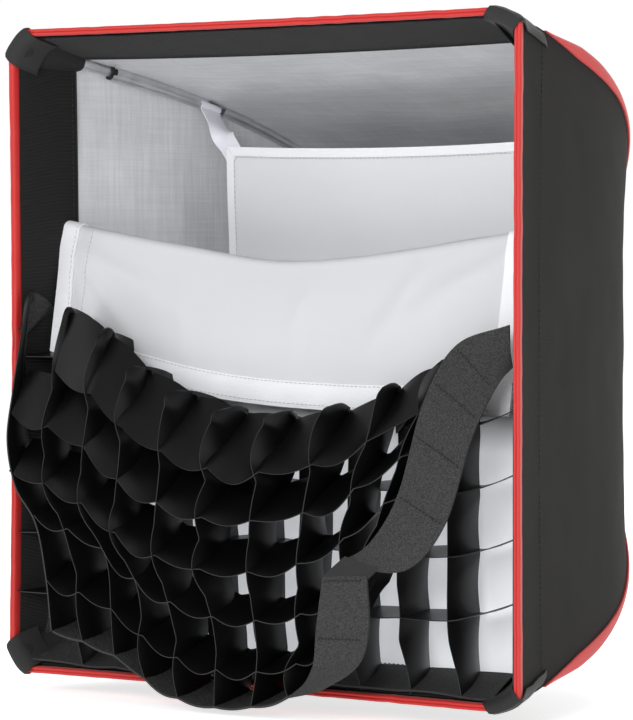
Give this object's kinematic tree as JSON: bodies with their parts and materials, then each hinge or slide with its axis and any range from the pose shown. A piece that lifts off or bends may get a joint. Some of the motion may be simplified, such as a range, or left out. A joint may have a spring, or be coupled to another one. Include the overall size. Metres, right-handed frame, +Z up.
{
  "type": "square quick-open softbox",
  "caption": "Square fabric softbox on bowed folding rods with silver lining, inner and front diffusers, egg-crate grid and a bayonet speed ring.",
  "frame": {"origin": "centre of the bayonet ring's seating face, where the lamp's face meets it", "axes": "+Z up, the open front faces -Y, the lamp is on +Y"},
  "size_m": [0.556, 0.4555, 0.556],
  "materials": {
    "shell_cloth": "charcoal woven polyester",
    "silver_lining": "silver-coated woven lining",
    "loop_cloth": "black brushed loop cloth",
    "red_piping": "red welt piping",
    "pocket_cloth": "black nylon pocket",
    "white_diffuser": "white translucent polyester",
    "ribbon_cloth": "white satin ribbon",
    "grid_cloth": "black satin egg-crate strips",
    "rod_steel": "spring steel rod",
    "hub_plastic": "black glass-filled nylon",
    "bracket_alloy": "grey die-cast alloy",
    "ring_alloy": "machined alloy",
    "knob_rubber": "black soft-touch knob",
    "button_plastic": "red moulded button"
  },
  "bodies": {
    "canopy": {"hub_plate": "hub_plastic", "lock_block": "hub_plastic", "rear_skirt": "shell_cloth", "shell_panel_top": "shell_cloth", "shell_panel_left": "shell_cloth", "shell_panel_bottom": "shell_cloth", "shell_panel_right": "shell_cloth", "loop_band_top": "loop_cloth", "loop_band_left": "loop_cloth", "loop_band_bottom": "loop_cloth", "loop_band_right": "loop_cloth", "lining_panel_top": "silver_lining", "lining_panel_left": "silver_lining", "lining_panel_bottom": "silver_lining", "lining_panel_right": "silver_lining", "front_piping_top": "red_piping", "front_piping_left": "red_piping", "front_piping_bottom": "red_piping", "front_piping_right": "red_piping", "seam_piping_top_right": "red_piping", "seam_piping_top_left": "red_piping", "seam_piping_bottom_left": "red_piping", "seam_piping_bottom_right": "red_piping", "corner_pocket_top_right": "pocket_cloth", "corner_pocket_top_left": "pocket_cloth", "corner_pocket_bottom_left": "pocket_cloth", "corner_pocket_bottom_right": "pocket_cloth", "rod_bracket_top_right": "bracket_alloy", "rod_bracket_top_left": "bracket_alloy", "rod_bracket_bottom_left": "bracket_alloy", "rod_bracket_bottom_right": "bracket_alloy", "hinge_pin_top_right": "bracket_alloy", "hinge_pin_top_left": "bracket_alloy", "hinge_pin_bottom_left": "bracket_alloy", "hinge_pin_bottom_right": "bracket_alloy"},
    "bayonet": {"bayonet_ring": "ring_alloy", "retaining_ring": "ring_alloy"},
    "knob": {"lock_knob": "knob_rubber"},
    "inner_baffle": {"inner_diffuser": "white_diffuser", "diffuser_ribbon_top_right": "ribbon_cloth", "diffuser_ribbon_top_left": "ribbon_cloth", "diffuser_ribbon_bottom_left": "ribbon_cloth", "diffuser_ribbon_bottom_right": "ribbon_cloth"},
    "front_baffle": {"front_diffuser_screen": "white_diffuser", "front_diffuser_flap": "white_diffuser"},
    "egg_crate": {"grid_lower": "grid_cloth", "grid_flap": "grid_cloth"},
    "rod_arm_top_right": {"rod_socket_top_right": "hub_plastic", "rod_top_right": "rod_steel"},
    "button_top_right": {"release_button_top_right": "button_plastic"},
    "rod_arm_top_left": {"rod_socket_top_left": "hub_plastic", "rod_top_left": "rod_steel"},
    "button_top_left": {"release_button_top_left": "button_plastic"},
    "rod_arm_bottom_left": {"rod_socket_bottom_left": "hub_plastic", "rod_bottom_left": "rod_steel"},
    "button_bottom_left": {"release_button_bottom_left": "button_plastic"},
    "rod_arm_bottom_right": {"rod_socket_bottom_right": "hub_plastic", "rod_bottom_right": "rod_steel"},
    "button_bottom_right": {"release_button_bottom_right": "button_plastic"}
  },
  "joints": [
    {"name": "ring_turn", "type": "hinge", "parent": "canopy", "child": "bayonet", "pos_m": [0, 0, 0], "axis": [0, 1, 0], "continuous": true},
    {"name": "knob_turn", "type": "hinge", "parent": "canopy", "child": "knob", "pos_m": [0, 0.0005, -0.1], "axis": [0, 0, 1], "range_deg": [0, 720]},
    {"name": "rod_fold_top_right", "type": "hinge", "parent": "canopy", "child": "rod_arm_top_right", "pos_m": [0.0735, -0.03, 0.0735], "axis": [0.7071, 0, -0.7071], "range_deg": [0, 36], "deforming": ["shell_panel_top", "shell_panel_left", "shell_panel_bottom", "shell_panel_right", "loop_band_top", "loop_band_left", "loop_band_bottom", "loop_band_right", "lining_panel_top", "lining_panel_left", "lining_panel_bottom", "lining_panel_right", "front_piping_top", "front_piping_left", "front_piping_bottom", "front_piping_right", "seam_piping_top_right", "seam_piping_top_left", "seam_piping_bottom_left", "seam_piping_bottom_right", "corner_pocket_top_right", "corner_pocket_top_left", "corner_pocket_bottom_left", "corner_pocket_bottom_right", "diffuser_ribbon_top_right", "diffuser_ribbon_top_left", "diffuser_ribbon_bottom_left", "diffuser_ribbon_bottom_right", "rear_skirt", "inner_diffuser", "front_diffuser_screen", "front_diffuser_flap", "grid_lower", "grid_flap"]},
    {"name": "rod_fold_top_left", "type": "hinge", "parent": "canopy", "child": "rod_arm_top_left", "pos_m": [-0.0735, -0.03, 0.0735], "axis": [0.7071, 0, 0.7071], "range_deg": [0, 36]},
    {"name": "rod_fold_bottom_left", "type": "hinge", "parent": "canopy", "child": "rod_arm_bottom_left", "pos_m": [-0.0735, -0.03, -0.0735], "axis": [-0.7071, 0, 0.7071], "range_deg": [0, 36]},
    {"name": "rod_fold_bottom_right", "type": "hinge", "parent": "canopy", "child": "rod_arm_bottom_right", "pos_m": [0.0735, -0.03, -0.0735], "axis": [-0.7071, 0, -0.7071], "range_deg": [0, 36]},
    {"name": "button_press_top_right", "type": "slide", "parent": "canopy", "child": "button_top_right", "axis": [0, -1, 0], "range_m": [0, 0.0025], "stiffness_N_per_m": 300, "springref_m": -0.001},
    {"name": "button_press_top_left", "type": "slide", "parent": "canopy", "child": "button_top_left", "axis": [0, -1, 0], "range_m": [0, 0.0025], "stiffness_N_per_m": 300, "springref_m": -0.001},
    {"name": "button_press_bottom_left", "type": "slide", "parent": "canopy", "child": "button_bottom_left", "axis": [0, -1, 0], "range_m": [0, 0.0025], "stiffness_N_per_m": 300, "springref_m": -0.001},
    {"name": "button_press_bottom_right", "type": "slide", "parent": "canopy", "child": "button_bottom_right", "axis": [0, -1, 0], "range_m": [0, 0.0025], "stiffness_N_per_m": 300, "springref_m": -0.001},
    {"name": "inner_diffuser_off", "type": "slide", "parent": "canopy", "child": "inner_baffle", "axis": [0, -1, 0], "range_m": [0, 0.15]},
    {"name": "front_diffuser_off", "type": "slide", "parent": "inner_baffle", "child": "front_baffle", "axis": [0, -1, 0], "range_m": [0, 0.2]},
    {"name": "grid_off", "type": "slide", "parent": "front_baffle", "child": "egg_crate", "axis": [0, -1, 0], "range_m": [0, 0.15]}
  ],
  "couplings": [
    {"joint": "rod_fold_top_left", "follows": "rod_fold_top_right", "ratio": 1},
    {"joint": "rod_fold_bottom_left", "follows": "rod_fold_top_right", "ratio": 1},
    {"joint": "rod_fold_bottom_right", "follows": "rod_fold_top_right", "ratio": 1}
  ]
}
